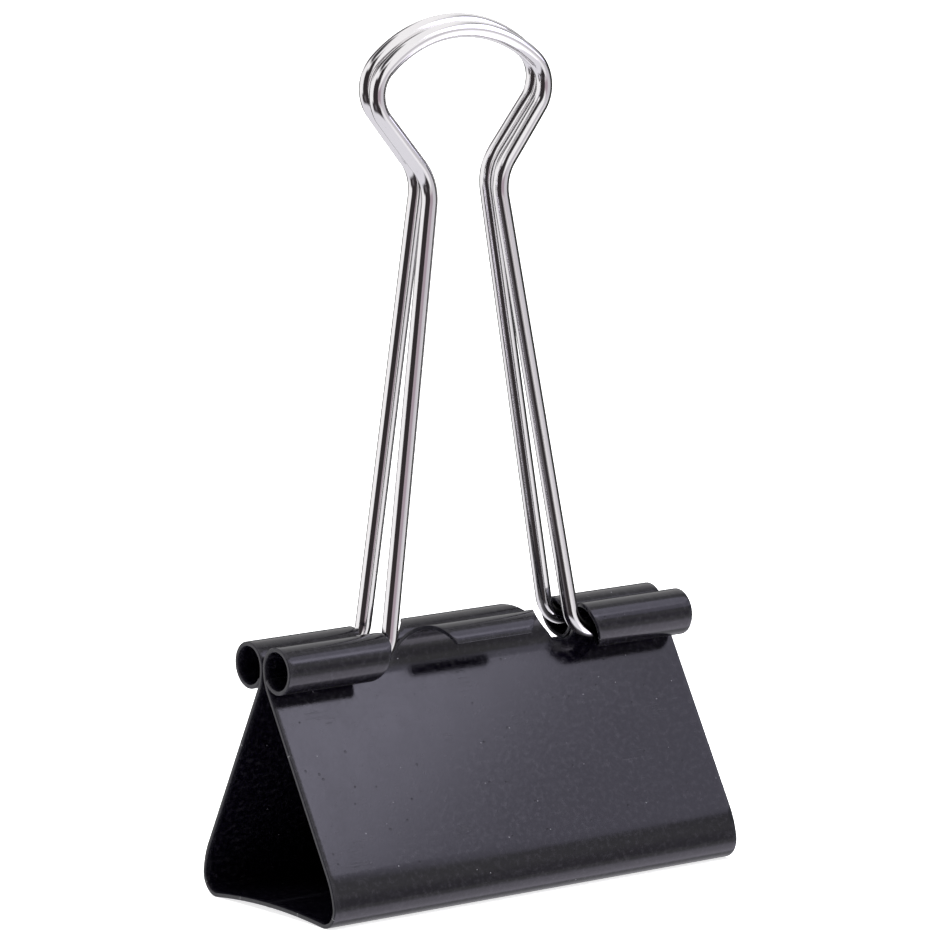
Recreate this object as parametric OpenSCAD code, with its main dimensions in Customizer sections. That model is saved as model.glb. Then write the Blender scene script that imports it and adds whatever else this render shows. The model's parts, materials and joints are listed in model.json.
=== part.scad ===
// Large binder clip: one spring-steel sheet, bent to a triangle with a rolled edge on each
// jaw, and two bright wire handles whose feet turn inside the rolled barrels.
// X runs along the barrels, the front jaw faces -Y, and the handles stand up along +Z.
// The origin is at the middle of the base, at the level of its two lowest edges.
// The sheet is one piece in life. It is drawn as a base and two jaws, which turn about the
// two lower bends where the real spring flexes.

/* [Sheet] */
// Width of the sheet along the barrels
clip_width = 51; // [40:1:60]
// Thickness of the spring steel
sheet = 0.45; // [0.35:0.05:0.5]
// Distance from the middle of the base to the outside of a lower bend
half_depth = 11.75; // [11:0.25:13]
// Outside radius of the lower bends
bend_radius = 2.2; // [1.8:0.1:2.6]
// How far the base is bowed up between the lower bends
base_bow = 0.55; // [0.3:0.05:1.2]
// Radius of the flare just above a lower bend
flare_radius = 8.5; // [6:0.5:10]
// Lean of the jaw from upright where the flare meets the lower bend, in degrees
flare_lean = 8; // [4:1:12]
// Radius of the curve that leads a jaw plate up into its barrels
throat_radius = 5; // [4:0.5:8]

/* [Barrels] */
// Height of the barrel axis above the base
barrel_height = 25; // [24:0.25:27]
// Outside diameter of a barrel
barrel_od = 4.84; // [4.6:0.04:5.2]
// Free gap between the two rows of barrels
mouth_gap = 0.06; // [0.04:0.02:0.2]
// How far round the sheet is rolled to make a barrel, in degrees
barrel_roll = 332; // [310:1:336]
// Distance from the middle to the inner end of a barrel
barrel_inner_end = 12.65; // [12.6:0.05:13]
// Width of the rounded inner corner of a barrel's free edge
corner_width = 3; // [2:0.25:4]
// Height of that rounded corner
corner_height = 4.2; // [3.5:0.1:5]
// Height above the barrel axis at which the corner starts to round off
corner_start = 1.35; // [0.5:0.05:1.5]

/* [Tongue and notches] */
// How far round the middle tongue is rolled, in degrees
tongue_roll = 167; // [150:1:172]
// Half width of the tongue at its root
tongue_root = 10; // [9.5:0.1:10.2]
// How far below the barrel axis the tongue starts to narrow
tongue_foot = 0.7; // [0.3:0.1:0.9]
// Half width of the tongue where it passes over the top
tongue_top = 6.6; // [6:0.1:7.5]
// Half width of the tongue at its free edge
tongue_edge = 4.7; // [4:0.1:5.5]
// Width of the notch that each handle leg rises through
notch_width = 3.2; // [3:0.1:3.4]
// Radius of the notch's bottom corners
notch_corner = 1.1; // [0.8:0.1:1.2]
// Height of the bottom of the notch above the base
notch_floor = 23.5; // [23:0.1:24]

/* [Handles] */
// Diameter of the handle wire
wire = 1.68; // [1.5:0.02:1.8]
// Height of a handle from the axis of its feet to the middle of the wire at the top
handle_height = 63; // [60:0.5:64]
// Half distance between the legs where they bend out into the feet
leg_spread = 11.45; // [11:0.05:11.6]
// Slope of a leg from upright, in degrees
leg_slope = 9.1; // [8.8:0.1:9.4]
// Bend radius of a foot
foot_bend = 2.8; // [2.5:0.1:2.8]
// Length of straight foot inside a barrel
foot_length = 5.5; // [3:0.5:8]
// Radius of the bend at the neck
neck_radius = 5; // [4:0.25:6]
// Slope of the loop's sides above the neck from upright, in degrees
loop_slope = 39; // [36:1:42]
// Radius of the loop's shoulders
shoulder_radius = 3.65; // [3.4:0.05:4]
// Radius of the loop's top
top_radius = 14; // [13:0.25:15]
// Angle of the loop's top from the middle to a shoulder, in degrees
top_angle = 41; // [40:1:43]

/* [Seats of the handles] */
// Distance of a foot's axis from the middle plane of the clip
seat_depth = 2.5; // [2.3:0.05:2.6]
// Height of the front handle's foot axis above the base
front_seat = 24.5; // [24.4:0.05:25]
// Height of the rear handle's foot axis above the base
rear_seat = 25.15; // [24.4:0.05:25.2]
// Sideways place of the front handle in its barrels
front_shift = -0.1; // [-0.2:0.05:0.2]
// Sideways place of the rear handle in its barrels
rear_shift = 0.15; // [-0.2:0.05:0.2]
// Free gap between the two handles where they come closest
handle_gap = 0.1; // [0.06:0.02:0.4]

/* [Hidden] */

$fn = 96;
// Steps in each bend of a sheet outline
bend_steps = 10;
// Free gap at the cut between the base and a jaw
cut_gap = 0.02;
// How far a cutter runs past what it cuts
over = 1;
// Length of the seam that joins two runs of wire, and how much fatter it is than the wire
seam_length = 0.3;
seam_extra = 0.02;
sheet_color = [0.16, 0.16, 0.18];
wire_color = [0.83, 0.83, 0.85];

// Sheet: the middle of its thickness, in the plane across the clip.
// u is the distance outwards from the middle plane, z the height above the base.
bend_mid = bend_radius - sheet / 2;
bend_u = half_depth - bend_radius;
bend_z = bend_radius;
flare_foot_u = bend_u + bend_mid * cos(flare_lean);
flare_foot_z = bend_z + bend_mid * sin(flare_lean);
throat_u = mouth_gap / 2 + sheet / 2 + throat_radius;
flare_u = flare_foot_u - flare_radius * cos(flare_lean);
flare_z = flare_foot_z - flare_radius * sin(flare_lean);

// A straight plate touches the throat and flare curves, which lie on opposite sides of it.
plate_du = throat_u - flare_u;
plate_dz = barrel_height - flare_z;
plate_lean = asin((throat_radius + flare_radius) / norm([plate_du, plate_dz])) - atan2(plate_du, plate_dz);

// Base: an arch whose ends run on from the lower bends.
arch_radius = (bend_u * bend_u + base_bow * base_bow) / (2 * base_bow) - sheet / 2;
arch_turn = asin(bend_u / (arch_radius + bend_mid));
arch_z = bend_z - (arch_radius + bend_mid) * cos(arch_turn);

// Barrels
barrel_r = barrel_od / 2;
barrel_u = mouth_gap / 2 + barrel_r;
barrel_length = clip_width / 2 - barrel_inner_end;
notch_end = tongue_root + notch_width;
notch_shoulder = notch_floor + notch_corner;
tongue_foot_z = barrel_height - tongue_foot;
barrel_top = barrel_height + barrel_r;
// Steps round the edge of the cutter that opens the roll
mouth_steps = 6;

// Handles: headings at the bends and the length of each straight run.
loop_height = top_radius * (1 - cos(top_angle)) + shoulder_radius * cos(top_angle);
loop_half = top_radius * sin(top_angle) + shoulder_radius * (1 - sin(top_angle));
shoulder_drop = shoulder_radius * sin(loop_slope);
shoulder_in = shoulder_radius * (1 - cos(loop_slope));
neck_drop = neck_radius * (sin(loop_slope) + sin(leg_slope));
neck_in = neck_radius * (cos(leg_slope) - cos(loop_slope));
foot_rise = foot_bend * (1 - sin(leg_slope));
// The slanting side and the leg together cover what is left, in height and in width.
left_drop = handle_height - loop_height - shoulder_drop - neck_drop - foot_rise;
left_in = loop_half - shoulder_in - neck_in - leg_spread;
leg_length = (left_drop * tan(loop_slope) - left_in) / (cos(leg_slope) * tan(loop_slope) + sin(leg_slope));
side_length = (left_drop - leg_length * cos(leg_slope)) / cos(loop_slope);
handle_lean = asin((seat_depth - wire / 2 - handle_gap / 2) / handle_height);

// Points of an arc about [cu, cz], offset by side to one face of the sheet.
function arc(cu, cz, r, from, to, side) =
    [for (i = [0 : bend_steps])
        let (a = from + (to - from) * i / bend_steps)
        [cu + (r + side) * cos(a), cz + (r + side) * sin(a)]];

// One face of a jaw, from the barrel down to the cut at the bottom of the lower bend.
function jaw_face(side) = concat(
    arc(throat_u, barrel_height, throat_radius, 180, 180 + plate_lean, -side),
    arc(flare_u, flare_z, flare_radius, plate_lean, flare_lean, side),
    arc(bend_u, bend_z, bend_mid, flare_lean, -90, side));

// Half of one face of the base, from the cut at a lower bend up to the middle.
function half_base_face(side) = concat(
    arc(bend_u, bend_z, bend_mid, -90, -90 - arch_turn, side),
    arc(0, arch_z, arch_radius, 90 - arch_turn, 90, -side));

function turned_back(points) = [for (i = [len(points) - 1 : -1 : 0]) points[i]];

// Stand an outline drawn in [u, z] up, and draw it out along X about the middle.
module along_x(length) {
    rotate([90, 0, -90])
        translate([0, 0, -length / 2])
            linear_extrude(height = length)
                children();
}

// The rolled sheet seen from its end, open on the underside beside the plate.
module curl_outline(roll) {
    translate([barrel_u, barrel_height])
        difference() {
            circle(r = barrel_r);
            circle(r = barrel_r - sheet);
            polygon(concat([[0, 0]], [for (i = [0 : mouth_steps])
                let (a = 180 + (360 - roll) * i / mouth_steps)
                barrel_od * [cos(a), sin(a)]]));
        }
}

// An outline drawn in [x, z], drawn out from the middle plane towards the front.
module towards_front(depth) {
    rotate([90, 0, 0])
        linear_extrude(height = depth)
            children();
}

// What is left of the roll between the legs: a tongue that narrows to its free edge.
module tongue_room() {
    towards_front(barrel_u)
        polygon([[-tongue_root, tongue_foot_z], [tongue_root, tongue_foot_z],
            [tongue_top, barrel_top + sheet], [-tongue_top, barrel_top + sheet]]);
    translate([0, -barrel_u, barrel_height])
        linear_extrude(height = barrel_od)
            polygon([[-tongue_top, 0], [tongue_top, 0],
                [tongue_edge, -barrel_r], [-tongue_edge, -barrel_r]]);
}

// A barrel's room on the +X side. The end leans in from the notch over the top of the roll,
// and the inner corner of the free edge is rounded.
module barrel_room() {
    corner_z = barrel_height + corner_start;
    difference() {
        translate([barrel_inner_end, -barrel_od - over, barrel_height - barrel_od])
            cube([barrel_length + over, barrel_od + 2 * over, 2 * barrel_od]);
        towards_front(barrel_u)
            polygon([[barrel_inner_end, tongue_foot_z], [notch_end, tongue_foot_z],
                [notch_end, barrel_height], [barrel_inner_end, barrel_top]]);
        difference() {
            translate([barrel_inner_end - over, -barrel_od - over, corner_z - corner_height - over])
                cube([corner_width + over, barrel_od + 2 * over, corner_height + over]);
            translate([barrel_inner_end + corner_width, over, corner_z])
                rotate([90, 0, 0])
                    scale([corner_width, corner_height, 1])
                        cylinder(r = 1, h = barrel_od + 3 * over);
        }
    }
}

// The cutter for the notch in the plate on the +X side.
module notch() {
    towards_front(barrel_r) {
        for (x = [tongue_root + notch_corner, notch_end - notch_corner])
            translate([x, notch_shoulder])
                circle(r = notch_corner);
        translate([tongue_root + notch_corner, notch_floor])
            square([notch_width - 2 * notch_corner, 2 * notch_corner]);
        polygon([[tongue_root, notch_shoulder], [notch_end, notch_shoulder],
            [notch_end, barrel_top], [tongue_top, barrel_top + sheet],
            [tongue_root, tongue_foot_z]]);
    }
}

module both_ends() {
    children();
    mirror([1, 0, 0])
        children();
}

// One jaw, facing -Y: plate, two barrels at each end of the mouth edge, and the tongue.
module jaw() {
    difference() {
        along_x(clip_width)
            polygon(concat(jaw_face(sheet / 2), turned_back(jaw_face(-sheet / 2))));
        both_ends()
            notch();
    }
    intersection() {
        along_x(clip_width)
            curl_outline(barrel_roll);
        both_ends()
            barrel_room();
    }
    intersection() {
        along_x(clip_width)
            curl_outline(tongue_roll);
        tongue_room();
    }
}

// Wire runs, drawn one after another from the end of the last. Each is [length, 0] for a
// straight, or [radius, turn] for a bend, with a positive turn to the left of the heading.
module wire_runs(runs, first = 0) {
    if (first < len(runs)) {
        run = runs[first];
        size = run[0];
        turn = run[1];
        side = sign(turn);
        translate([-seam_length / 2, 0, 0])
            rotate([0, 90, 0])
                cylinder(d = wire + seam_extra, h = seam_length);
        if (turn == 0) {
            rotate([0, 90, 0])
                cylinder(d = wire, h = size);
            translate([size, 0, 0])
                wire_runs(runs, first + 1);
        } else {
            translate([0, side * size, 0])
                rotate([0, 0, -side * 90])
                    rotate_extrude(angle = turn)
                        translate([size, 0])
                            circle(d = wire);
            translate([size * sin(abs(turn)), side * size * (1 - cos(turn)), 0])
                rotate([0, 0, turn])
                    wire_runs(runs, first + 1);
        }
    }
}

// A handle in its own plane, with the axis of its feet along X.
module handle() {
    both_ends()
        rotate([90, 0, 0])
            translate([0, handle_height, 0])
                wire_runs([[top_radius, -top_angle],
                    [shoulder_radius, top_angle - 90 - loop_slope],
                    [side_length, 0],
                    [neck_radius, loop_slope + leg_slope],
                    [leg_length, 0],
                    [foot_bend, 90 - leg_slope],
                    [foot_length, 0]]);
}

// Set a handle in its seat, leaning in towards the other handle.
module seated(height, shift) {
    translate([shift, -seat_depth, height])
        rotate([-handle_lean, 0, 0])
            children();
}

module turned_to_rear() {
    mirror([0, 1, 0])
        children();
}

module base() {
    half_under = half_base_face(sheet / 2);
    half_top = half_base_face(-sheet / 2);
    color(sheet_color)
        difference() {
            along_x(clip_width)
                polygon(concat(half_under,
                    turned_back([for (p = half_under) [-p[0], p[1]]]),
                    [for (p = half_top) [-p[0], p[1]]],
                    turned_back(half_top)));
            for (u = [bend_u - cut_gap, -bend_u - over])
                translate([-clip_width / 2 - over, u, -over])
                    cube([clip_width + 2 * over, cut_gap + over, bend_radius]);
        }
}

module front_jaw() {
    color(sheet_color)
        jaw();
}

module rear_jaw() {
    color(sheet_color)
        turned_to_rear()
            jaw();
}

module front_handle() {
    color(wire_color)
        seated(front_seat, front_shift)
            handle();
}

module rear_handle() {
    color(wire_color)
        turned_to_rear()
            seated(rear_seat, rear_shift)
                handle();
}

base();
front_jaw();
rear_jaw();
front_handle();
rear_handle();
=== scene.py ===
"""Looks for the large binder clip: a lacquered spring-steel body and two bright wire handles.

All sizes in this script are in millimetres and are turned into metres when a mesh is made.
u is the distance outwards from the middle plane of the clip, z the height above its base.
"""
import json
import math

import bpy
import numpy as np
from mathutils import Matrix, Vector
from mathutils.geometry import delaunay_2d_cdt


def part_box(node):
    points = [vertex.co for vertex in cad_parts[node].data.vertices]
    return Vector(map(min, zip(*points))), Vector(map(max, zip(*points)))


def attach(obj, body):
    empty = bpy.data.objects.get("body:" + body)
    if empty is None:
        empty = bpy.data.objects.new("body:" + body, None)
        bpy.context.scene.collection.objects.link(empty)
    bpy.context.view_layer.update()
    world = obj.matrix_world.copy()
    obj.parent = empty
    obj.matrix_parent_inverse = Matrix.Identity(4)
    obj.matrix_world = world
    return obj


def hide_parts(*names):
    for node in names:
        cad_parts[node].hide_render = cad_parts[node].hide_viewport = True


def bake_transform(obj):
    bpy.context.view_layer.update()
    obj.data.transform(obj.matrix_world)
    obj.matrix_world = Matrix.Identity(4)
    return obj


MM = 0.001

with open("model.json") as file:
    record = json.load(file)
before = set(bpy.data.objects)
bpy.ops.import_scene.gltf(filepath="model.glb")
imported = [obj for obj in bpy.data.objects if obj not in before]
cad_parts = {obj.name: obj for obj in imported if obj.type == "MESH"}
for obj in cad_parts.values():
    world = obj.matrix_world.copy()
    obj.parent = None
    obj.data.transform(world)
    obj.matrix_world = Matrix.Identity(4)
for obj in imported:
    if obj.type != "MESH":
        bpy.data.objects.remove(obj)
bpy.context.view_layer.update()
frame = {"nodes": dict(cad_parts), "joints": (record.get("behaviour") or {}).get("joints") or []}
joints = {joint["name"]: joint for joint in frame["joints"]}
jaw_low, jaw_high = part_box("front_jaw")

# ---------------------------------------------------------------- driving dimensions
CLIP_WIDTH = (jaw_high.x - jaw_low.x) / MM
HALF_DEPTH = -jaw_low.y / MM
BEND_U = -joints["front_jaw_flex"]["pos_m"][1] / MM
JAW_TOP = jaw_high.z / MM

SHEET = 0.45
BASE_BOW = 0.55
FLARE_RADIUS = 8.5
FLARE_LEAN = math.radians(8)
THROAT_RADIUS = 5.0
MOUTH_GAP = 0.06

BARREL_OD = 4.84
BARREL_ROLL = math.radians(332)
TONGUE_ROLL = math.radians(167)
BARREL_INNER_END = 12.65
TONGUE_ROOT = 10.0
TONGUE_FOOT = 0.7
TONGUE_TOP = 6.6
TONGUE_EDGE = 4.7
NOTCH_WIDTH = 3.2
NOTCH_CORNER = 1.1
NOTCH_FLOOR = 23.5

# Rounding of the sheet's cut corners, on the flat sheet. The barrel's free edge turns in
# two steps, each given as (distance from the inner end, distance up the roll).
OUTER_CORNER = 0.35
EDGE_CORNER = 0.5
EDGE_CORNER_X = 3.2
BARREL_CORNER = 3.0
BARREL_CORNER_LOW = (0.0, 5.4)
BARREL_CORNER_HIGH = (1.0, 8.3)
BARREL_TOP_CORNER = 1.0
BARREL_FOOT_CORNER = 1.0
TONGUE_TOP_CORNER = 1.5
TONGUE_EDGE_CORNER = 0.25

WIRE = 1.68
HANDLE_HEIGHT = 63.0
LEG_SPREAD = 11.45
LEG_SLOPE = math.radians(9.1)
FOOT_BEND = 2.8
FOOT_LENGTH = 5.5
NECK_RADIUS = 5.0
LOOP_SLOPE = math.radians(39)
SHOULDER_RADIUS = 3.65
TOP_RADIUS = 14.0
TOP_ANGLE = math.radians(41)
HANDLE_GAP = 0.1
FRONT_SHIFT = -0.1
REAR_SHIFT = 0.15
WIRE_CHAMFER = 0.18

# Fineness of the meshes
RIM_RADIUS = 0.09
RIM_EDGE_WEAR = 0.8
RIM_STEPS = 3
OUTLINE_STEP = 0.22
CORNER_STEPS = 6
NOTCH_STEPS = 8
GRID_STEP_X = 0.6
# How far the grid keeps from the rim, and what counts as on the cut between the halves
GRID_CLEARANCE = 0.12
AT_CUT = 1e-6
TRIANGLE_TOLERANCE = 1e-5
# How much the large faces count in the shading, where 50 is neutral
FACE_WEIGHT = 60
# Spacing of the rows along each run of the sheet's profile
ROW_STEPS = [0.8, 0.14, 0.3, 0.9, 0.35, 0.15]
WIRE_SIDES = 64
WIRE_ARC_STEP = math.radians(2.5)
WIRE_STRAIGHT_STEP = 1.5
WIRE_SHARP_ANGLE = math.radians(38)
# A bend thins the wire in the bend's own plane, by this share once its radius is down to this
BEND_SQUEEZE = 0.02
SQUEEZE_FULL_RADIUS = 4

# ---------------------------------------------------------------- derived sizes
BEND_RADIUS = HALF_DEPTH - BEND_U
BEND_MID = BEND_RADIUS - SHEET / 2
BARREL_R = BARREL_OD / 2
BARREL_MID = BARREL_R - SHEET / 2
BARREL_U = MOUTH_GAP / 2 + BARREL_R
BARREL_HEIGHT = JAW_TOP - BARREL_R
THROAT_U = MOUTH_GAP / 2 + SHEET / 2 + THROAT_RADIUS
FLARE_U = BEND_U + (BEND_MID - FLARE_RADIUS) * math.cos(FLARE_LEAN)
FLARE_Z = BEND_RADIUS + (BEND_MID - FLARE_RADIUS) * math.sin(FLARE_LEAN)
PLATE_REACH = math.hypot(THROAT_U - FLARE_U, BARREL_HEIGHT - FLARE_Z)
PLATE_LEAN = (math.asin((THROAT_RADIUS + FLARE_RADIUS) / PLATE_REACH)
              - math.atan2(THROAT_U - FLARE_U, BARREL_HEIGHT - FLARE_Z))
PLATE_LENGTH = math.sqrt(PLATE_REACH ** 2 - (THROAT_RADIUS + FLARE_RADIUS) ** 2)
ARCH_RADIUS = (BEND_U ** 2 + BASE_BOW ** 2) / (2 * BASE_BOW) - SHEET / 2
ARCH_TURN = math.asin(BEND_U / (ARCH_RADIUS + BEND_MID))
ARCH_Z = BEND_RADIUS - (ARCH_RADIUS + BEND_MID) * math.cos(ARCH_TURN)


# ---------------------------------------------------------------- mesh helpers
def new_mesh(name, points, faces):
    """A smooth-shaded mesh object from points in millimetres."""
    mesh = bpy.data.meshes.new(name)
    mesh.from_pydata([tuple(p) for p in np.asarray(points) * MM], [], faces)
    mesh.validate()
    mesh.shade_smooth()
    piece = bpy.data.objects.new(name, mesh)
    bpy.context.scene.collection.objects.link(piece)
    return piece


def keep_flat_faces_flat(piece):
    """Shading that follows the large faces, so the thin rims don't bend the light on them."""
    modifier = piece.modifiers.new("flat_faces", "WEIGHTED_NORMAL")
    modifier.weight = FACE_WEIGHT
    modifier.keep_sharp = True
    return piece


# ---------------------------------------------------------------- the sheet's profile
class Profile:
    """The middle of the sheet as arcs and a straight, from the middle of the base to the free edge.

    An arc is (centre u, centre z, radius, first angle, last angle, side); side is +1 where the
    face that looks out of the plate lies outside the arc, and -1 where it lies inside.
    """

    def __init__(self):
        half_turn = math.pi
        quarter_turn = math.pi / 2
        lean = PLATE_LEAN
        self.runs = [
            (0, ARCH_Z, ARCH_RADIUS, quarter_turn, quarter_turn - ARCH_TURN, -1),
            (BEND_U, BEND_RADIUS, BEND_MID, -quarter_turn - ARCH_TURN, FLARE_LEAN, 1),
            (FLARE_U, FLARE_Z, FLARE_RADIUS, FLARE_LEAN, lean, 1),
            None,
            (THROAT_U, BARREL_HEIGHT, THROAT_RADIUS, half_turn + lean, half_turn, -1),
            (BARREL_U, BARREL_HEIGHT, BARREL_MID, half_turn, half_turn - BARREL_ROLL, -1),
        ]
        lengths = [PLATE_LENGTH if run is None else run[2] * abs(run[4] - run[3])
                   for run in self.runs]
        self.starts = np.concatenate([[0], np.cumsum(lengths)])
        self.roll_start = self.starts[-2]
        self.end = self.starts[-1]

    def at(self, s):
        """u, z and the direction of the outward face's normal at distances s along the sheet."""
        s = np.asarray(s, float)
        which = np.clip(np.searchsorted(self.starts, s, side="right") - 1, 0, len(self.runs) - 1)
        u, z, nu, nz = (np.zeros_like(s) for _ in range(4))
        for i, run in enumerate(self.runs):
            here = which == i
            along = s[here] - self.starts[i]
            if run is None:
                nu[here], nz[here] = math.cos(PLATE_LEAN), math.sin(PLATE_LEAN)
                u[here] = FLARE_U + FLARE_RADIUS * nu[here] - along * math.sin(PLATE_LEAN)
                z[here] = FLARE_Z + FLARE_RADIUS * nz[here] + along * math.cos(PLATE_LEAN)
                continue
            cu, cz, radius, first, last, side = run
            angle = first + np.sign(last - first) * along / radius
            u[here] = cu + radius * np.cos(angle)
            z[here] = cz + radius * np.sin(angle)
            nu[here], nz[here] = side * np.cos(angle), side * np.sin(angle)
        return u, z, nu, nz

    def rows(self):
        """Distances along the sheet, closer together where it bends more."""
        found = []
        for start, end, step in zip(self.starts, self.starts[1:], ROW_STEPS):
            count = max(2, round((end - start) / step))
            found.extend(np.linspace(start, end, count, endpoint=False))
        return np.array(found[1:])


profile = Profile()


# ---------------------------------------------------------------- the sheet's flat outline
def rounded(corners):
    """Outline points from (x, s, radius) corners, with each corner rounded to its radius."""
    points = []
    count = len(corners)
    for i, (x, s, radius) in enumerate(corners):
        here = np.array([x, s])
        before = np.array(corners[i - 1][:2]) - here
        after = np.array(corners[(i + 1) % count][:2]) - here
        if radius == 0:
            points.append(here)
            continue
        before /= np.linalg.norm(before)
        after /= np.linalg.norm(after)
        half = math.acos(np.clip(before @ after, -1, 1)) / 2
        reach = radius / math.tan(half)
        middle = (before + after) / np.linalg.norm(before + after)
        centre = here + middle * radius / math.sin(half)
        first, last = here + before * reach - centre, here + after * reach - centre
        turn = math.atan2(first[0] * last[1] - first[1] * last[0], first @ last)
        for k in range(CORNER_STEPS + 1):
            angle = turn * k / CORNER_STEPS
            cos, sin = math.cos(angle), math.sin(angle)
            points.append(centre + [cos * first[0] - sin * first[1], sin * first[0] + cos * first[1]])
    return points


def evenly(points, step):
    """The closed outline again with points about a step apart."""
    found = []
    for a, b in zip(points, points[1:] + points[:1]):
        count = max(1, math.ceil(np.linalg.norm(b - a) / step))
        found.extend(a + (b - a) * k / count for k in range(count))
    return np.array(found)


def jaw_outline():
    """The cut edge of half the sheet laid flat: x across, s from the middle of the base."""
    half = CLIP_WIDTH / 2
    roll = profile.roll_start
    free_edge = profile.end
    top = roll + BARREL_MID * math.pi / 2
    shoulder = roll - (BARREL_HEIGHT - NOTCH_FLOOR - NOTCH_CORNER)
    notch_end = TONGUE_ROOT + NOTCH_WIDTH
    tongue_foot = math.asin((TONGUE_FOOT - roll + shoulder) / NOTCH_CORNER)
    right = [(half, 0, 0),
             (half, free_edge, OUTER_CORNER),
             (BARREL_INNER_END + EDGE_CORNER_X, free_edge, EDGE_CORNER)]
    right += [(BARREL_INNER_END + across, roll + up, BARREL_CORNER)
              for across, up in (BARREL_CORNER_HIGH, BARREL_CORNER_LOW)]
    right += [(BARREL_INNER_END, top, BARREL_TOP_CORNER),
              (notch_end, roll, BARREL_FOOT_CORNER),
              (notch_end, shoulder, 0)]
    for centre, first, last in ((notch_end - NOTCH_CORNER, 0, -math.pi / 2),
                                (TONGUE_ROOT + NOTCH_CORNER, -math.pi / 2, tongue_foot - math.pi)):
        right += [(centre + NOTCH_CORNER * math.cos(a), shoulder + NOTCH_CORNER * math.sin(a), 0)
                  for a in np.linspace(first, last, NOTCH_STEPS + 1)[1:]]
    right += [(TONGUE_TOP, top, TONGUE_TOP_CORNER),
              (TONGUE_EDGE, roll + BARREL_MID * TONGUE_ROLL, TONGUE_EDGE_CORNER)]
    left = [(-x, s, radius) for x, s, radius in reversed(right)]
    return evenly([np.asarray(p, float) for p in rounded(right + left)], OUTLINE_STEP)


def outward(points):
    """The outward direction at each point of a counter-clockwise outline."""
    edge = np.roll(points, -1, 0) - points
    edge /= np.linalg.norm(edge, axis=1)[:, None]
    tangent = edge + np.roll(edge, 1, 0)
    tangent /= np.linalg.norm(tangent, axis=1)[:, None]
    return np.stack([tangent[:, 1], -tangent[:, 0]], 1)


def inside(points, outline):
    """Which points lie inside a closed outline."""
    x, y = points[:, 0][:, None], points[:, 1][:, None]
    a, b = outline, np.roll(outline, -1, 0)
    crosses = (a[:, 1] > y) != (b[:, 1] > y)
    height = np.where(b[:, 1] == a[:, 1], 1, b[:, 1] - a[:, 1])
    at = a[:, 0] + (y - a[:, 1]) * (b[:, 0] - a[:, 0]) / height
    return (crosses & (x < at)).sum(1) % 2 == 1


def nearest(points, outline):
    """Each point's distance to the closest point of an outline."""
    return np.array([np.hypot(*(outline - p).T).min() for p in points])


def flat_sheet():
    """The sheet laid flat and cut into triangles.

    Gives the points, the triangles, the outward direction at each outline point, and how many
    of the points, which come first, are on the outline.
    """
    outline = jaw_outline()
    out = outward(outline)
    out[outline[:, 1] < AT_CUT] = 0
    inner = outline - out * RIM_RADIUS
    columns = np.arange(-CLIP_WIDTH / 2, CLIP_WIDTH / 2 + GRID_STEP_X, GRID_STEP_X)
    grid = np.array([(x, s) for s in profile.rows() for x in columns])
    grid = grid[inside(grid, inner)]
    grid = grid[nearest(grid, inner) > GRID_CLEARANCE]
    points = np.vstack([inner, grid])
    count = len(inner)
    edges = [(i, (i + 1) % count) for i in range(count)]
    found, _, faces, *_ = delaunay_2d_cdt(
        [Vector(p) for p in points], edges, [], 1, TRIANGLE_TOLERANCE)
    assert len(found) == len(points), "the outline or the grid has points on top of each other"
    return np.array([tuple(p) for p in found]), faces, out, count


def jaw_sheet(name, side, flat):
    """Half the sheet, bent up: side is -1 for the front half and +1 for the rear half."""
    points, faces, out, count = flat
    u, z, nu, nz = profile.at(points[:, 1])
    middle = np.stack([points[:, 0], side * u, z], 1)
    normal = np.stack([np.zeros_like(u), side * nu, nz], 1)
    # Along the sheet the profile runs at right angles to its normal.
    along = np.stack([np.zeros_like(u), -side * nz, nu], 1)
    edge = out[:, 0][:, None] * np.array([1, 0, 0]) + out[:, 1][:, None] * along[:count]
    total = len(points)
    rim = []
    for k in range(2 * RIM_STEPS):
        # Half the steps round the outward face's edge, and half the other face's.
        flat_part = (SHEET / 2 - RIM_RADIUS) * (1 if k < RIM_STEPS else -1)
        corner = math.pi / 2 * (1 - (k + 1) / RIM_STEPS) if k < RIM_STEPS else (
            -math.pi / 2 * (k - RIM_STEPS) / RIM_STEPS)
        rise = flat_part + RIM_RADIUS * math.sin(corner)
        reach = RIM_RADIUS * math.cos(corner)
        rim.append(middle[:count] + normal[:count] * rise + edge * reach)
    outer = middle + normal * SHEET / 2
    inner = middle - normal * SHEET / 2
    all_points = np.vstack([outer, inner] + rim)
    loops = [np.arange(count)]
    loops += [2 * total + k * count + np.arange(count) for k in range(len(rim))]
    loops += [total + np.arange(count)]
    flip = side > 0
    mesh_faces = []
    for f in faces:
        upper = list(f)
        lower = [total + i for i in reversed(f)]
        mesh_faces += [upper[::-1], lower[::-1]] if flip else [upper, lower]
    for a, b in zip(loops, loops[1:]):
        for i in range(count):
            j = (i + 1) % count
            quad = [int(a[i]), int(b[i]), int(b[j]), int(a[j])]
            mesh_faces.append(quad[::-1] if flip else quad)
    piece = new_mesh(name, all_points, mesh_faces)
    wear = np.zeros(len(all_points), np.float32)
    wear[2 * total:] = 1
    wear[:count] = wear[total:total + count] = RIM_EDGE_WEAR
    flat_uv = np.vstack([points, points] + [points[:count]] * len(rim))
    paint_points(piece, "rim", wear)
    lay_out(piece, flat_uv)
    sharpen_cut(piece, flat_uv[:, 1] < AT_CUT)
    return keep_flat_faces_flat(piece)


def sharpen_cut(piece, at_cut):
    """Sharp edges where the two halves of the sheet meet, so the join doesn't catch the light."""
    ends = np.zeros(2 * len(piece.data.edges), np.int32)
    piece.data.edges.foreach_get("vertices", ends)
    sharp = at_cut[ends].reshape(-1, 2).all(axis=1)
    attribute = piece.data.attributes.new("sharp_edge", "BOOLEAN", "EDGE")
    attribute.data.foreach_set("value", sharp)


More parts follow.
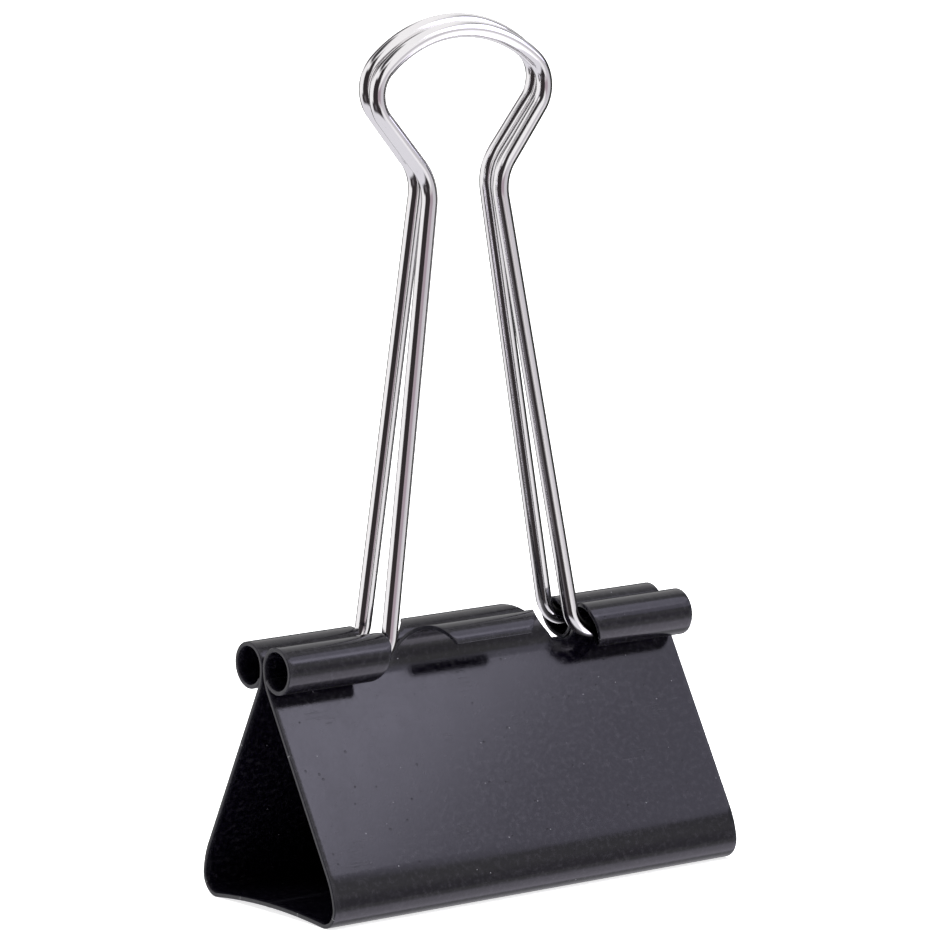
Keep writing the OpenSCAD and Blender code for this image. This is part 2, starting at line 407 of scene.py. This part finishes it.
def paint_points(piece, name, values):
    """A number at each point, for the material to read."""
    attribute = piece.data.attributes.new(name, "FLOAT", "POINT")
    attribute.data.foreach_set("value", np.asarray(values, np.float32))


def lay_out(piece, flat):
    """A UV map in millimetres from a flat position for each point."""
    layer = piece.data.uv_layers.new(name="flat")
    corners = np.zeros(len(piece.data.loops), np.int32)
    piece.data.loops.foreach_get("vertex_index", corners)
    layer.data.foreach_set("uv", np.asarray(flat, np.float32)[corners].ravel())


# ---------------------------------------------------------------- the wire handles
def handle_runs():
    """Half a handle's wire, from the middle of the top: (length or radius, turn) for each run."""
    loop_height = TOP_RADIUS * (1 - math.cos(TOP_ANGLE)) + SHOULDER_RADIUS * math.cos(TOP_ANGLE)
    loop_half = TOP_RADIUS * math.sin(TOP_ANGLE) + SHOULDER_RADIUS * (1 - math.sin(TOP_ANGLE))
    drop = (HANDLE_HEIGHT - loop_height - SHOULDER_RADIUS * math.sin(LOOP_SLOPE)
            - NECK_RADIUS * (math.sin(LOOP_SLOPE) + math.sin(LEG_SLOPE))
            - FOOT_BEND * (1 - math.sin(LEG_SLOPE)))
    shift = (loop_half - SHOULDER_RADIUS * (1 - math.cos(LOOP_SLOPE))
             - NECK_RADIUS * (math.cos(LEG_SLOPE) - math.cos(LOOP_SLOPE)) - LEG_SPREAD)
    slope = math.tan(LOOP_SLOPE)
    leg = (drop * slope - shift) / (math.cos(LEG_SLOPE) * slope + math.sin(LEG_SLOPE))
    side = (drop - leg * math.cos(LEG_SLOPE)) / math.cos(LOOP_SLOPE)
    return [(TOP_RADIUS, -TOP_ANGLE),
            (SHOULDER_RADIUS, TOP_ANGLE - math.pi / 2 - LOOP_SLOPE),
            (side, 0),
            (NECK_RADIUS, LOOP_SLOPE + LEG_SLOPE),
            (leg, 0),
            (FOOT_BEND, math.pi / 2 - LEG_SLOPE),
            (FOOT_LENGTH, 0)]


def half_path():
    """Points, headings and tightness of bend along half a handle, in its own plane."""
    at, heading = np.array([0.0, HANDLE_HEIGHT]), 0.0
    points, headings, bends = [at], [heading], [1 / TOP_RADIUS]
    for size, turn in handle_runs():
        if turn == 0:
            count = max(2, round(size / WIRE_STRAIGHT_STEP))
            step = np.array([math.cos(heading), math.sin(heading)]) * size / count
            for k in range(count):
                points.append(at + step * (k + 1))
                headings.append(heading)
                bends.append(0)
            at = points[-1]
            continue
        side = math.copysign(1, turn)
        centre = at + side * size * np.array([-math.sin(heading), math.cos(heading)])
        count = max(4, round(abs(turn) / WIRE_ARC_STEP))
        for k in range(count):
            angle = heading + turn * (k + 1) / count
            points.append(centre + side * size * np.array([math.sin(angle), -math.cos(angle)]))
            headings.append(angle)
            bends.append(side / size)
        at, heading = points[-1], heading + turn
    return np.array(points), np.array(headings), np.array(bends)


def handle_wire(name, side, joint, shift):
    """One bent wire, with chamfered ends; side is -1 for the front handle."""
    points, headings, bends = half_path()
    mirrored = points[:0:-1] * [-1, 1]
    path = np.vstack([mirrored, points])
    angle = np.concatenate([-headings[:0:-1], headings])
    bend = np.concatenate([bends[:0:-1], bends])
    # One more ring near each end, where the cut wire starts to narrow.
    inset = WIRE_CHAMFER * np.stack([np.cos(angle[[0, -1]]), np.sin(angle[[0, -1]])], 1)
    ends = [1, len(path) - 1]
    path = np.insert(path, ends, [path[0] + inset[0], path[-1] - inset[1]], axis=0)
    angle = np.insert(angle, ends, angle[[0, -1]])
    bend = np.insert(bend, ends, 0)
    size = np.full(len(path), WIRE / 2)
    size[[0, -1]] -= WIRE_CHAMFER
    seat = np.array(joint["pos_m"]) / MM
    lean = math.asin((abs(seat[1]) - WIRE / 2 - HANDLE_GAP / 2) / HANDLE_HEIGHT)
    up = np.array([0, -side * math.sin(lean), math.cos(lean)])
    across = np.array([0, side * math.cos(lean), math.sin(lean)])
    right = np.array([1.0, 0, 0])
    centre = seat + [shift, 0, 0] + path[:, :1] * right + path[:, 1:] * up
    normal = -np.sin(angle)[:, None] * right + np.cos(angle)[:, None] * up
    along = np.concatenate([[0], np.cumsum(np.linalg.norm(np.diff(path, axis=0), axis=1))])
    around = np.arange(WIRE_SIDES) * 2 * math.pi / WIRE_SIDES
    rings = []
    for k in range(len(path)):
        squeeze = 1 - BEND_SQUEEZE * min(1, abs(bend[k]) * SQUEEZE_FULL_RADIUS)
        offset = np.cos(around)[:, None] * normal[k] * squeeze + np.sin(around)[:, None] * across
        rings.append(centre[k] + offset * size[k])
    count = len(rings)
    faces = []
    for k in range(count - 1):
        for j in range(WIRE_SIDES):
            nxt = (j + 1) % WIRE_SIDES
            a, b = k * WIRE_SIDES, (k + 1) * WIRE_SIDES
            faces.append((a + j, a + nxt, b + nxt, b + j))
    ring_ids = list(range(WIRE_SIDES))
    faces.append(tuple(ring_ids[::-1]))
    faces.append(tuple((count - 1) * WIRE_SIDES + j for j in ring_ids))
    if side > 0:
        faces = [face[::-1] for face in faces]
    piece = new_mesh(name, np.vstack(rings), faces)
    flat = np.array([(along[k], j * math.pi * WIRE / WIRE_SIDES)
                     for k in range(count) for j in range(WIRE_SIDES)])
    lay_out(piece, flat)
    piece.data.set_sharp_from_angle(angle=WIRE_SHARP_ANGLE)
    return piece


# ---------------------------------------------------------------- materials
LACQUER_DEEP = (0.0010, 0.0006, 0.0026, 1)
LACQUER_CLOUD = (0.0020, 0.0014, 0.0042, 1)
LACQUER_MOTTLE = (0.0150, 0.0140, 0.0185, 1)
LACQUER_RIM = (0.030, 0.030, 0.036, 1)
LACQUER_IOR = 1.42
DUST = (0.24, 0.24, 0.26, 1)
SCRATCH = (0.12, 0.12, 0.13, 1)
BARE_STEEL = (0.42, 0.42, 0.43, 1)
NICKEL_BRIGHT = (0.90, 0.885, 0.885, 1)
NICKEL_HAZE = (0.82, 0.81, 0.82, 1)
NICKEL_PIT = (0.45, 0.43, 0.42, 1)
FLOOR_PALE = (0.92, 0.92, 0.92, 1)
FLOOR_PALER = (0.94, 0.94, 0.94, 1)
FLOOR_GLOW = (1.0, 1.0, 1.0, 1)
FLOOR_GLOW_STRENGTH = 0.75


class Nodes:
    """A short way to write a node tree. A socket is named by its label or its number."""

    def __init__(self, tree):
        self.tree = tree

    def set(self, node, key, value):
        """Link a socket to another, or give it a plain value."""
        socket = node.inputs[key]
        if isinstance(value, bpy.types.NodeSocket):
            self.tree.links.new(value, socket)
        else:
            socket.default_value = value

    def node(self, kind, settings=None, **inputs):
        """A new node with its settings and inputs filled in."""
        node = self.tree.nodes.new(kind)
        for key, value in (settings or {}).items():
            setattr(node, key, value)
        for key, value in inputs.items():
            self.set(node, key.replace("_", " "), value)
        return node

    def math(self, operation, a, b=0.0, clamp=False):
        """One sum of two numbers or sockets."""
        node = self.node("ShaderNodeMath", {"operation": operation, "use_clamp": clamp})
        self.set(node, 0, a)
        self.set(node, 1, b)
        return node.outputs[0]

    def between(self, value, low, high, to_low=0.0, to_high=1.0):
        """value taken smoothly from the range low..high to the range to_low..to_high."""
        node = self.node("ShaderNodeMapRange", {"interpolation_type": "SMOOTHSTEP"}, Value=value)
        for key, number in zip(("From Min", "From Max", "To Min", "To Max"),
                               (low, high, to_low, to_high)):
            node.inputs[key].default_value = number
        return node.outputs["Result"]

    def mix(self, fac, a, b):
        """Colour a where fac is 0, and colour b where it is 1."""
        node = self.node("ShaderNodeMix", {"data_type": "RGBA"}, Factor=fac)
        self.set(node, 6, a)
        self.set(node, 7, b)
        return node.outputs[2]


class Shader(Nodes):
    """A material's nodes."""

    def __init__(self, name):
        self.material = bpy.data.materials.new(name)
        self.material.use_nodes = True
        super().__init__(self.material.node_tree)
        self.surface = self.tree.nodes["Principled BSDF"]

    def flat_position(self, scale):
        """The laid-out position in millimetres, scaled."""
        uv = self.node("ShaderNodeUVMap", {"uv_map": "flat"})
        mapping = self.node("ShaderNodeMapping", Vector=uv.outputs["UV"], Scale=scale)
        return mapping.outputs["Vector"]

    def noise(self, scale, stretch=(1, 1, 1), detail=4.0, roughness=0.55):
        """Cloudy noise over the laid-out surface."""
        node = self.node("ShaderNodeTexNoise", Vector=self.flat_position(stretch), Scale=scale,
                         Detail=detail, Roughness=roughness)
        return node.outputs["Fac"]

    def spots(self, scale, stretch, solid, clear):
        """Round spots: 1 within the distance solid of a spot's middle, 0 beyond clear."""
        cells = self.node("ShaderNodeTexVoronoi", {"feature": "F1"},
                          Vector=self.flat_position(stretch), Scale=scale)
        return self.between(cells.outputs["Distance"], solid, clear, 1, 0)

    def bump(self, height, distance, strength, below=None):
        """Small relief, laid over the relief below it; distance in metres."""
        node = self.node("ShaderNodeBump", Height=height, Distance=distance, Strength=strength)
        if below is not None:
            self.set(node, "Normal", below)
        return node.outputs["Normal"]

    def finish(self, **inputs):
        """Fill in the surface shader's inputs, and give back the material."""
        for key, value in inputs.items():
            self.set(self.surface, key.replace("_", " "), value)
        return self.material


def lacquered_steel():
    """Glossy black lacquer: orange peel, mottling, dust, fine scratches and a few bare chips."""
    s = Shader("lacquered_steel")
    cloudy = s.noise(0.12, detail=3)
    smear = s.noise(0.30, stretch=(1, 0.6, 1), detail=4)
    mottle = s.noise(1.7, detail=4, roughness=0.65)
    peel = s.noise(3.4, detail=4, roughness=0.6)
    grain = s.noise(9.0, detail=2)
    dust = s.spots(0.55, (1, 1, 1), 0.025, 0.05)
    pits = s.spots(0.5, (1.3, 1.1, 1), 0.04, 0.09)
    scratch_field = s.noise(1.0, stretch=(0.05, 3.2, 1), detail=2)
    scratch = s.between(s.math("ABSOLUTE", s.math("SUBTRACT", scratch_field, 0.5)), 0, 0.004, 1, 0)
    scratch = s.math("MULTIPLY", scratch, s.between(s.noise(0.2, detail=2), 0.55, 0.7))

    rim = s.node("ShaderNodeAttribute", {"attribute_name": "rim"}).outputs["Fac"]
    chips = s.between(s.noise(1.3, detail=6, roughness=0.7), 0.62, 0.68)
    bare = s.math("MULTIPLY", s.between(rim, 0.7, 0.95), chips)

    paint = s.mix(cloudy, LACQUER_DEEP, LACQUER_CLOUD)
    paint = s.mix(s.between(mottle, 0.45, 0.72, 0, 0.8), paint, LACQUER_MOTTLE)
    paint = s.mix(s.math("MULTIPLY", rim, 0.35), paint, LACQUER_RIM)
    paint = s.mix(s.math("MULTIPLY", dust, 0.6), paint, DUST)
    paint = s.mix(s.math("MULTIPLY", scratch, 0.25), paint, SCRATCH)
    colour = s.mix(bare, paint, BARE_STEEL)
    roughness = s.between(smear, 0.25, 0.80, 0.12, 0.17)
    roughness = s.math("ADD", roughness, s.between(mottle, 0.35, 0.70, -0.02, 0.05))
    roughness = s.math("ADD", roughness, s.math("MULTIPLY", dust, 0.3), clamp=True)
    height = s.bump(peel, 0.00002, 0.16)
    height = s.bump(grain, 0.000008, 0.25, below=height)
    height = s.bump(pits, -0.00003, 0.5, below=height)
    height = s.bump(scratch, 0.00001, 0.3, below=height)
    return s.finish(Base_Color=colour, Roughness=roughness, Metallic=bare, Normal=height,
                    IOR=LACQUER_IOR)


def bright_wire():
    """Nickel-plated wire: drawing lines along it, faint haze and tiny pits."""
    s = Shader("bright_wire")
    lines = s.noise(1.0, stretch=(0.03, 14, 1), detail=5, roughness=0.6)
    haze = s.noise(0.25, detail=3)
    pits = s.spots(1.6, (1, 1, 1), 0.04, 0.09)
    colour = s.mix(haze, NICKEL_BRIGHT, NICKEL_HAZE)
    colour = s.mix(s.math("MULTIPLY", pits, 0.35), colour, NICKEL_PIT)
    roughness = s.between(lines, 0.3, 0.7, 0.05, 0.13)
    height = s.bump(lines, 0.00001, 0.25)
    height = s.bump(pits, 0.00001, 0.3, below=height)
    return s.finish(Base_Color=colour, Roughness=roughness, Metallic=1.0, Normal=height)


def floor_white():
    """A plain pale floor that glows a little, so it stays pale to its edges."""
    s = Shader("floor_white")
    grain = s.node("ShaderNodeTexNoise", Scale=60.0, Detail=3.0)
    colour = s.mix(grain.outputs["Fac"], FLOOR_PALE, FLOOR_PALER)
    return s.finish(Base_Color=colour, Roughness=0.9, Emission_Color=FLOOR_GLOW,
                    Emission_Strength=FLOOR_GLOW_STRENGTH)


# ---------------------------------------------------------------- the object
def dress(piece, material):
    """Give a piece its material."""
    piece.data.materials.clear()
    piece.data.materials.append(material)
    return piece


lacquer = lacquered_steel()
nickel = bright_wire()
for node_name, node in frame["nodes"].items():
    dress(node, nickel if "handle" in node_name else lacquer)

flat = flat_sheet()
for name, side, jaw in (("front_sheet", -1, "front_jaw"), ("rear_sheet", 1, "rear_jaw")):
    sheet = dress(jaw_sheet(name, side, flat), lacquer)
    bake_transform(sheet)
    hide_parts(jaw, "base")

for name, side, body, joint, shift in (
        ("front_wire", -1, "front_handle", "front_handle_hinge", FRONT_SHIFT),
        ("rear_wire", 1, "rear_handle", "rear_handle_hinge", REAR_SHIFT)):
    wire = dress(handle_wire(name, side, joints[joint], shift), nickel)
    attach(wire, body)
    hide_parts(body)


# ---------------------------------------------------------------- camera, floor and light
VIEW_AZIMUTH = math.radians(-36.05)
VIEW_ELEVATION = math.radians(8.74)
VIEW_ROLL = math.radians(-1.195)
VIEW_DISTANCE = 638.0
AIM = Vector((0.73, 0, 42.3))
LENS = 239.24
SENSOR = 36
CLIP_NEAR = 0.01
CLIP_FAR = 50


def direction(azimuth, elevation):
    """From the object towards a viewer; azimuth 0 is straight in front, at -Y."""
    return Vector((math.sin(azimuth) * math.cos(elevation),
                   -math.cos(azimuth) * math.cos(elevation), math.sin(elevation)))


def make_camera():
    """The camera, VIEW_DISTANCE away from the point it is aimed at."""
    back = direction(VIEW_AZIMUTH, VIEW_ELEVATION)
    right = Vector((math.cos(VIEW_AZIMUTH), math.sin(VIEW_AZIMUTH), 0))
    up = back.cross(right)
    turned = Matrix((right, up, back)).transposed().to_4x4() @ Matrix.Rotation(VIEW_ROLL, 4, "Z")
    data = bpy.data.cameras.new("camera")
    data.sensor_width = SENSOR
    data.lens = LENS
    data.clip_start = CLIP_NEAR
    data.clip_end = CLIP_FAR
    camera = bpy.data.objects.new("camera", data)
    camera.matrix_world = Matrix.Translation((AIM + back * VIEW_DISTANCE) * MM) @ turned
    bpy.context.scene.collection.objects.link(camera)
    bpy.context.scene.camera = camera


# The studio round the object: (azimuth from the camera's own, elevation, half width,
# half height, softness, colour), all angles in degrees, each laid over the ones before it.
DARK = (0.035, 0.030, 0.032)
STUDIO = [
    (0, -90, 180, 70, 12, (0.80, 0.79, 0.84)),
    (112, 30, 34, 22, 8, (0.36, 0.36, 0.38)),
    (-25, 2, 36, 36, 5, DARK),
    (-26, -22, 54, 10, 5, DARK),
    (-36, -23, 14, 6, 4, (0.13, 0.12, 0.13)),
    (-6, 38, 24, 22, 6, DARK),
    (86, -46, 34, 22, 8, (2.1, 2.0, 2.3)),
    (74, 0, 30, 9, 5, (0.62, 0.60, 0.64)),
    (28, 0, 20, 9, 5, (0.42, 0.34, 0.39)),
    (-90, 68, 55, 13, 6, (0.06, 0.055, 0.06)),
    (144, -6, 46, 23, 5, (0.045, 0.045, 0.045)),
    (190, -8, 40, 14, 4, (0.045, 0.045, 0.045)),
    (-146, 34, 24, 16, 7, (0.06, 0.055, 0.06)),
]
STUDIO_WHITE = (1.0, 0.99, 1.0)

# The softbox: where it stands as seen from a point in front of the plate's foot, and its
# brightness, which falls towards its lower edge and towards its corner at (1, 1). Sizes are in
# millimetres; places on the panel run from 0 to 1 across it and up it.
KEY_TARGET = (18, -17, 4)
KEY_AZIMUTH = 55
KEY_ELEVATION = 45
KEY_DISTANCE = 250
KEY_WIDTH = 170
KEY_HEIGHT = 160
KEY_TILT = 0.12
KEY_FALL_START = 0.42
KEY_FALL_END = 0.31
KEY_BRIGHT = 4.3
KEY_DIM = 1.65
KEY_TOP_TILT = 0.8
KEY_TOP_START = 0.68
KEY_TOP_END = 1.0
KEY_TOP_DIM = 0.52
KEY_COLOUR = (0.97, 0.94, 1.15, 1)

# The floor and the overhead lamp: places in millimetres, sizes in metres, power in watts.
FLOOR_HALF = 6.0
FLOOR_DROP = 0.00002
LAMP_PLACE = (0, 0, 900)
LAMP_SIZE = (1.2, 1.2)
LAMP_POWER = 12


def make_studio():
    """Painted surroundings: white walls, the dark gap round the camera and a dark screen behind."""
    world = bpy.data.worlds.new("studio")
    bpy.context.scene.world = world
    world.use_nodes = True
    nodes = Nodes(world.node_tree)

    def window(angle, half, soft):
        """1 where the angle is within half of 0, fading to 0 over the softness."""
        return nodes.between(nodes.math("ABSOLUTE", angle), math.radians(half - soft),
                             math.radians(half + soft), 1, 0)

    way = nodes.node("ShaderNodeTexCoord").outputs["Generated"]
    colour = STUDIO_WHITE + (1,)
    for azimuth, elevation, half_width, half_height, soft, tint in STUDIO:
        turned = nodes.node("ShaderNodeVectorRotate", {"rotation_type": "Z_AXIS"}, Vector=way,
                            Angle=-VIEW_AZIMUTH - math.radians(azimuth))
        parts = nodes.node("ShaderNodeSeparateXYZ", Vector=turned.outputs[0]).outputs
        across = nodes.math("ARCTAN2", parts["X"], nodes.math("MULTIPLY", parts["Y"], -1.0))
        height = nodes.math("SUBTRACT", nodes.math("ARCSINE", parts["Z"]),
                            math.radians(elevation))
        mask = nodes.math("MULTIPLY", window(across, half_width, soft),
                          window(height, half_height, soft))
        colour = nodes.mix(mask, colour, tint + (1,))
    background = nodes.tree.nodes["Background"]
    nodes.set(background, "Color", colour)
    nodes.set(background, "Strength", 1.0)


def soft_light(name, place, target, size, power):
    """A rectangular lamp that gloss doesn't show; places in millimetres, size in metres."""
    data = bpy.data.lights.new(name, "AREA")
    data.shape = "RECTANGLE"
    data.size, data.size_y = size
    data.energy = power
    light = bpy.data.objects.new(name, data)
    place, target = Vector(place) * MM, Vector(target) * MM
    light.location = place
    light.rotation_euler = (target - place).to_track_quat("-Z", "Y").to_euler()
    light.visible_glossy = False
    bpy.context.scene.collection.objects.link(light)


def rectangle(name, half_width, half_height, level, material):
    """A flat staging plane about the origin; sizes in metres."""
    corners = [(-half_width, -half_height), (half_width, -half_height),
               (half_width, half_height), (-half_width, half_height)]
    mesh = bpy.data.meshes.new(name)
    mesh.from_pydata([(x, y, level) for x, y in corners], [], [(0, 1, 2, 3)])
    mesh.materials.append(material)
    plane = bpy.data.objects.new(name, mesh)
    bpy.context.scene.collection.objects.link(plane)
    return plane


def make_key_panel():
    """The softbox that the front plate and the barrels mirror."""
    s = Shader("key_panel")
    place = s.node("ShaderNodeTexCoord").outputs["Generated"]
    parts = s.node("ShaderNodeSeparateXYZ", Vector=place).outputs
    height = s.math("SUBTRACT", parts["Y"], s.math("MULTIPLY", parts["X"], KEY_TILT))
    strength = s.between(height, KEY_FALL_END, KEY_FALL_START, KEY_DIM, KEY_BRIGHT)
    top_corner = s.math("ADD", parts["Y"], s.math("MULTIPLY", parts["X"], KEY_TOP_TILT))
    strength = s.math("MULTIPLY", strength,
                      s.between(top_corner, KEY_TOP_START, KEY_TOP_END, 1.0, KEY_TOP_DIM))
    emission = s.node("ShaderNodeEmission", Color=KEY_COLOUR, Strength=strength)
    s.tree.links.new(emission.outputs[0], s.tree.nodes["Material Output"].inputs["Surface"])
    panel = rectangle("key_panel", KEY_WIDTH / 2 * MM, KEY_HEIGHT / 2 * MM, 0, s.material)
    away = direction(math.radians(KEY_AZIMUTH), math.radians(KEY_ELEVATION))
    panel.location = (Vector(KEY_TARGET) + away * KEY_DISTANCE) * MM
    panel.rotation_euler = away.to_track_quat("Z", "Y").to_euler()
    panel.visible_camera = False
    panel.visible_shadow = False


def make_floor():
    """A wide pale floor, a hair under the object so the two don't share a surface."""
    floor = rectangle("floor", FLOOR_HALF, FLOOR_HALF, -FLOOR_DROP, floor_white())
    # The bright wire shows the painted studio, not this plane.
    floor.visible_glossy = False


make_camera()
make_studio()
make_floor()
soft_light("overhead", LAMP_PLACE, (0, 0, 0), LAMP_SIZE, LAMP_POWER)
make_key_panel()
bpy.context.scene.view_settings.view_transform = "Standard"
